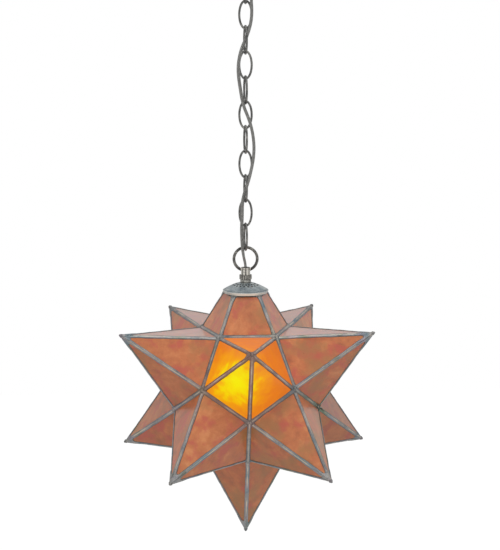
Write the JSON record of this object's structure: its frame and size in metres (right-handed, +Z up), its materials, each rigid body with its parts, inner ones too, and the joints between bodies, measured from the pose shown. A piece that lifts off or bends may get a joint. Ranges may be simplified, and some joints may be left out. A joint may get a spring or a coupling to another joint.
{
  "type": "moravian star pendant",
  "caption": "Star-shaped mica lantern with pointed rays, one of them a hinged door to the lamp, hung on an oval-link chain with a flat cord from a round ceiling canopy.",
  "frame": {"origin": "centre of the canopy's rim on the ceiling plane, which is also the centre of the crossbar's upper face", "axes": "+Z up into the ceiling along the hanging axis, -Y towards the front point of the star, +X to the right seen from the front"},
  "size_m": [0.3558, 0.3742, 0.86],
  "materials": {
    "aged_pewter_solder": "satin, aged",
    "amber_mica": "satin, mottled",
    "antique_pewter_metal": "satin",
    "cap_pewter": "satin",
    "zinc_plated_steel": "satin",
    "brass": "satin",
    "porcelain": "glossy",
    "card_liner": "matte",
    "bulb_glass": "frosted",
    "bulb_metal": "satin",
    "clear_cord": "clear over tinned strands",
    "ground_green": "plated"
  },
  "bodies": {
    "ceiling": {"ceiling_crossbar": "zinc_plated_steel", "ground_screw": "ground_green", "canopy_nipple": "zinc_plated_steel", "nipple_locknuts": "zinc_plated_steel", "canopy_loop": "antique_pewter_metal", "supply_cord": "clear_cord"},
    "canopy_shell": {"canopy": "antique_pewter_metal"},
    "collar": {"collar_nut": "antique_pewter_metal"},
    "link_01": {"chain_link_01": "antique_pewter_metal"},
    "link_02": {"chain_link_02": "antique_pewter_metal"},
    "link_03": {"chain_link_03": "antique_pewter_metal"},
    "link_04": {"chain_link_04": "antique_pewter_metal"},
    "link_05": {"chain_link_05": "antique_pewter_metal"},
    "link_06": {"chain_link_06": "antique_pewter_metal"},
    "link_07": {"chain_link_07": "antique_pewter_metal"},
    "link_08": {"chain_link_08": "antique_pewter_metal"},
    "link_09": {"chain_link_09": "antique_pewter_metal"},
    "link_10": {"chain_link_10": "antique_pewter_metal"},
    "link_11": {"chain_link_11": "antique_pewter_metal"},
    "lantern": {"hanging_loop": "antique_pewter_metal", "check_ring": "antique_pewter_metal", "neck_washer": "antique_pewter_metal", "vase_cap": "cap_pewter", "fixture_nipple": "zinc_plated_steel", "top_spider": "zinc_plated_steel", "spider_nut": "zinc_plated_steel", "socket_cap": "brass", "socket_shell": "brass", "socket_liner": "card_liner", "socket_core": "porcelain", "screw_shell": "brass", "centre_contact": "brass", "top_panels": "amber_mica", "bottom_panels": "amber_mica", "upper_1_panels": "amber_mica", "upper_2_panels": "amber_mica", "upper_3_panels": "amber_mica", "upper_4_panels": "amber_mica", "upper_5_panels": "amber_mica", "lower_1_panels": "amber_mica", "lower_3_panels": "amber_mica", "lower_4_panels": "amber_mica", "lower_5_panels": "amber_mica", "point_seams": "aged_pewter_solder", "mouth_seams": "aged_pewter_solder", "valley_seams": "aged_pewter_solder", "body_hinge_leaf": "aged_pewter_solder", "hinge_pin": "aged_pewter_solder", "latch_eye": "aged_pewter_solder"},
    "door": {"door_panels": "amber_mica", "door_seams": "aged_pewter_solder", "door_frame": "aged_pewter_solder", "door_hinge_leaf": "aged_pewter_solder", "latch_stud": "aged_pewter_solder"},
    "bail": {"latch_bail": "aged_pewter_solder"},
    "bulb": {"bulb_glass": "bulb_glass", "bulb_base": "bulb_metal", "bulb_stem": "bulb_glass"}
  },
  "joints": [
    {"name": "canopy_drop", "type": "slide", "parent": "ceiling", "child": "canopy_shell", "axis": [0, 0, -1], "range_m": [0, 0.028]},
    {"name": "collar_turn", "type": "hinge", "parent": "canopy_shell", "child": "collar", "pos_m": [0, 0, -0.034], "axis": [0, 0, -1], "continuous": true},
    {"name": "link_01_swing", "type": "hinge", "parent": "ceiling", "child": "link_01", "pos_m": [0, 0, -0.06175], "axis": [1, 0, 0], "range_deg": [-20, 20], "deforming": ["supply_cord"]},
    {"name": "link_02_swing", "type": "hinge", "parent": "link_01", "child": "link_02", "pos_m": [0, 0, -0.09615], "axis": [-0.1736, 0.9848, 0], "range_deg": [-20, 20], "deforming": ["supply_cord"]},
    {"name": "link_03_swing", "type": "hinge", "parent": "link_02", "child": "link_03", "pos_m": [0, 0, -0.13075], "axis": [1, 0, 0], "range_deg": [-8, 8], "deforming": ["supply_cord"]},
    {"name": "link_04_swing", "type": "hinge", "parent": "link_03", "child": "link_04", "pos_m": [0, 0, -0.16535], "axis": [-0.1736, 0.9848, 0], "range_deg": [-8, 8], "deforming": ["supply_cord"]},
    {"name": "link_05_swing", "type": "hinge", "parent": "link_04", "child": "link_05", "pos_m": [0, 0, -0.19995], "axis": [1, 0, 0], "range_deg": [-8, 8], "deforming": ["supply_cord"]},
    {"name": "link_06_swing", "type": "hinge", "parent": "link_05", "child": "link_06", "pos_m": [0, 0, -0.23455], "axis": [-0.1736, 0.9848, 0], "range_deg": [-8, 8], "deforming": ["supply_cord"]},
    {"name": "link_07_swing", "type": "hinge", "parent": "link_06", "child": "link_07", "pos_m": [0, 0, -0.26915], "axis": [1, 0, 0], "range_deg": [-8, 8], "deforming": ["supply_cord"]},
    {"name": "link_08_swing", "type": "hinge", "parent": "link_07", "child": "link_08", "pos_m": [0, 0, -0.30375], "axis": [-0.1736, 0.9848, 0], "range_deg": [-8, 8], "deforming": ["supply_cord"]},
    {"name": "link_09_swing", "type": "hinge", "parent": "link_08", "child": "link_09", "pos_m": [0, 0, -0.33835], "axis": [1, 0, 0], "range_deg": [-8, 8], "deforming": ["supply_cord"]},
    {"name": "link_10_swing", "type": "hinge", "parent": "link_09", "child": "link_10", "pos_m": [0, 0, -0.37295], "axis": [-0.1736, 0.9848, 0], "range_deg": [-8, 8], "deforming": ["supply_cord"]},
    {"name": "link_11_swing", "type": "hinge", "parent": "link_10", "child": "link_11", "pos_m": [0, 0, -0.40755], "axis": [1, 0, 0], "range_deg": [-8, 8], "deforming": ["supply_cord"]},
    {"name": "lantern_swing", "type": "hinge", "parent": "link_11", "child": "lantern", "pos_m": [0, 0, -0.44215], "axis": [-0.1736, 0.9848, 0], "range_deg": [-12, 12], "deforming": ["supply_cord"]},
    {"name": "door_swing", "type": "hinge", "parent": "lantern", "child": "door", "pos_m": [0.0537, 0.07392, -0.70228], "axis": [0.309, 0.4253, 0.8507], "range_deg": [0, 95]},
    {"name": "bail_swing", "type": "hinge", "parent": "lantern", "child": "bail", "pos_m": [0.10444, -0.03796, -0.66478], "axis": [0.309, 0.4253, 0.8507], "range_deg": [0, 175]},
    {"name": "bulb_out", "type": "slide", "parent": "lantern", "child": "bulb", "axis": [0, 0, -1], "range_m": [0, 0.03]}
  ]
}
